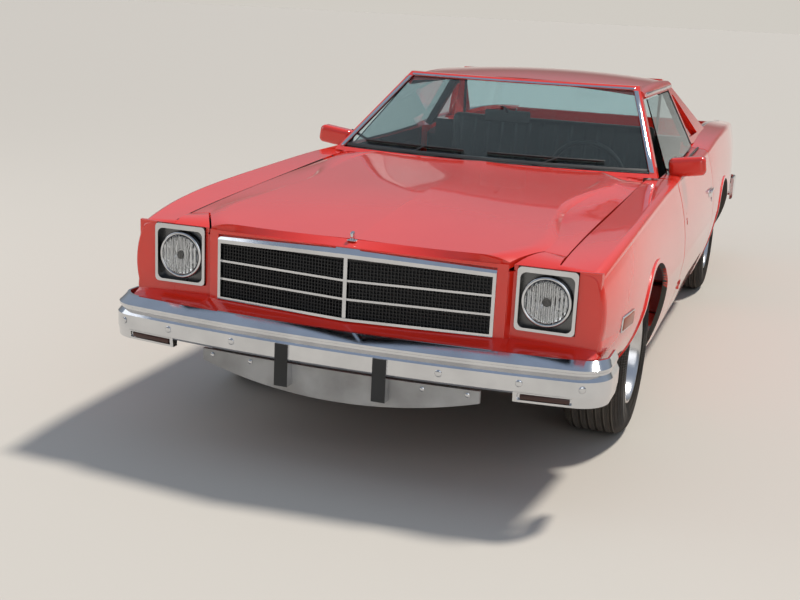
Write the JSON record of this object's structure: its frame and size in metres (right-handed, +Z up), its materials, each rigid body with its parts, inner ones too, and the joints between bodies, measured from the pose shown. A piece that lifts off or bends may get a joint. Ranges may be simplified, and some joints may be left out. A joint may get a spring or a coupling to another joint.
{
  "type": "coupe utility",
  "caption": "Car-based pickup with a two-door cab, a long flat bonnet, sloping sail panels beside an open load bed and a drop-down tailgate.",
  "frame": {"origin": "on the ground, under the middle of the vehicle's length and width", "axes": "+Z up, the nose points along -Y, the driver's side is +X"},
  "size_m": [2.0264, 5.46, 1.3666],
  "materials": {
    "chassis_black": "satin black chassis paint",
    "cast_engine": "painted cast iron",
    "pipe_steel": "dull steel",
    "body_red": "bright red gloss paint",
    "liner_red": "worn red gloss paint",
    "bright_chrome": "polished chrome",
    "tinted_glass": "light blue-grey tint",
    "lamp_glass": "clear pressed glass",
    "lens_red": "red moulded lens",
    "valance_silver": "silver-grey paint",
    "seat_vinyl": "black ribbed vinyl",
    "cabin_black": "black grained plastic",
    "tyre_rubber": "black rubber",
    "rim_alloy": "polished alloy"
  },
  "bodies": {
    "body": {"chassis_frame": "chassis_black", "front_suspension": "chassis_black", "rear_axle": "chassis_black", "engine_block": "cast_engine", "exhaust_system": "pipe_steel", "fuel_tank": "pipe_steel", "floor_pan": "cabin_black", "cowl_panel": "body_red", "cab_shell": "body_red", "windscreen": "tinted_glass", "rear_window": "tinted_glass", "quarter_windows": "tinted_glass", "inner_fenders": "chassis_black", "radiator_support": "chassis_black", "header_panel": "body_red", "grille": "bright_chrome", "headlamps": "bright_chrome", "front_bumper": "bright_chrome", "front_valance": "valance_silver", "bed_liner": "liner_red", "tail_panel": "body_red", "rear_bumper": "bright_chrome", "tail_lamps": "lens_red", "bench_seat": "seat_vinyl", "dashboard": "cabin_black", "fender_left": "body_red", "fender_right": "body_red", "body_side_left": "body_red", "body_side_right": "body_red"},
    "door_left_assembly": {"door_left": "body_red", "door_glass_left": "tinted_glass"},
    "door_right_assembly": {"door_right": "body_red", "door_glass_right": "tinted_glass"},
    "bonnet": {"hood": "body_red"},
    "gate": {"tailgate": "body_red"},
    "steering_left": {"knuckle_left": "cast_engine"},
    "steering_right": {"knuckle_right": "cast_engine"},
    "wheel_front_left": {"tyre_front_left": "tyre_rubber", "rim_front_left": "rim_alloy"},
    "wheel_front_right": {"tyre_front_right": "tyre_rubber", "rim_front_right": "rim_alloy"},
    "wheel_rear_left": {"tyre_rear_left": "tyre_rubber", "rim_rear_left": "rim_alloy"},
    "wheel_rear_right": {"tyre_rear_right": "tyre_rubber", "rim_rear_right": "rim_alloy"},
    "handwheel": {"steering_wheel": "cabin_black"}
  },
  "joints": [
    {"name": "door_left_hinge", "type": "hinge", "parent": "body", "child": "door_left_assembly", "pos_m": [0.945, -0.658, 0.6], "axis": [0, 0, -1], "range_deg": [0, 66]},
    {"name": "door_right_hinge", "type": "hinge", "parent": "body", "child": "door_right_assembly", "pos_m": [-0.945, -0.658, 0.6], "axis": [0, 0, 1], "range_deg": [0, 66]},
    {"name": "hood_hinge", "type": "hinge", "parent": "body", "child": "bonnet", "pos_m": [0, -0.872, 0.938], "axis": [-1, 0, 0], "range_deg": [0, 52]},
    {"name": "tailgate_hinge", "type": "hinge", "parent": "body", "child": "gate", "pos_m": [0, 2.65, 0.634], "axis": [-1, 0, 0], "range_deg": [0, 90]},
    {"name": "steer_left", "type": "hinge", "parent": "body", "child": "steering_left", "pos_m": [0.69, -1.66, 0.334], "axis": [0, 0, 1], "range_deg": [-33, 33]},
    {"name": "steer_right", "type": "hinge", "parent": "body", "child": "steering_right", "pos_m": [-0.69, -1.66, 0.334], "axis": [0, 0, 1], "range_deg": [-33, 33]},
    {"name": "handwheel_turn", "type": "hinge", "parent": "body", "child": "handwheel", "pos_m": [0.37, -0.215, 0.85], "axis": [0, 0.9177, 0.3973], "range_deg": [-528, 528]},
    {"name": "wheel_front_left_spin", "type": "hinge", "parent": "steering_left", "child": "wheel_front_left", "pos_m": [0.79, -1.66, 0.334], "axis": [1, 0, 0], "continuous": true},
    {"name": "wheel_front_right_spin", "type": "hinge", "parent": "steering_right", "child": "wheel_front_right", "pos_m": [-0.79, -1.66, 0.334], "axis": [1, 0, 0], "continuous": true},
    {"name": "wheel_rear_left_spin", "type": "hinge", "parent": "body", "child": "wheel_rear_left", "pos_m": [0.79, 1.286, 0.334], "axis": [1, 0, 0], "continuous": true},
    {"name": "wheel_rear_right_spin", "type": "hinge", "parent": "body", "child": "wheel_rear_right", "pos_m": [-0.79, 1.286, 0.334], "axis": [1, 0, 0], "continuous": true}
  ],
  "couplings": [
    {"joint": "steer_right", "follows": "steer_left", "ratio": 1},
    {"joint": "handwheel_turn", "follows": "steer_left", "ratio": 16}
  ]
}
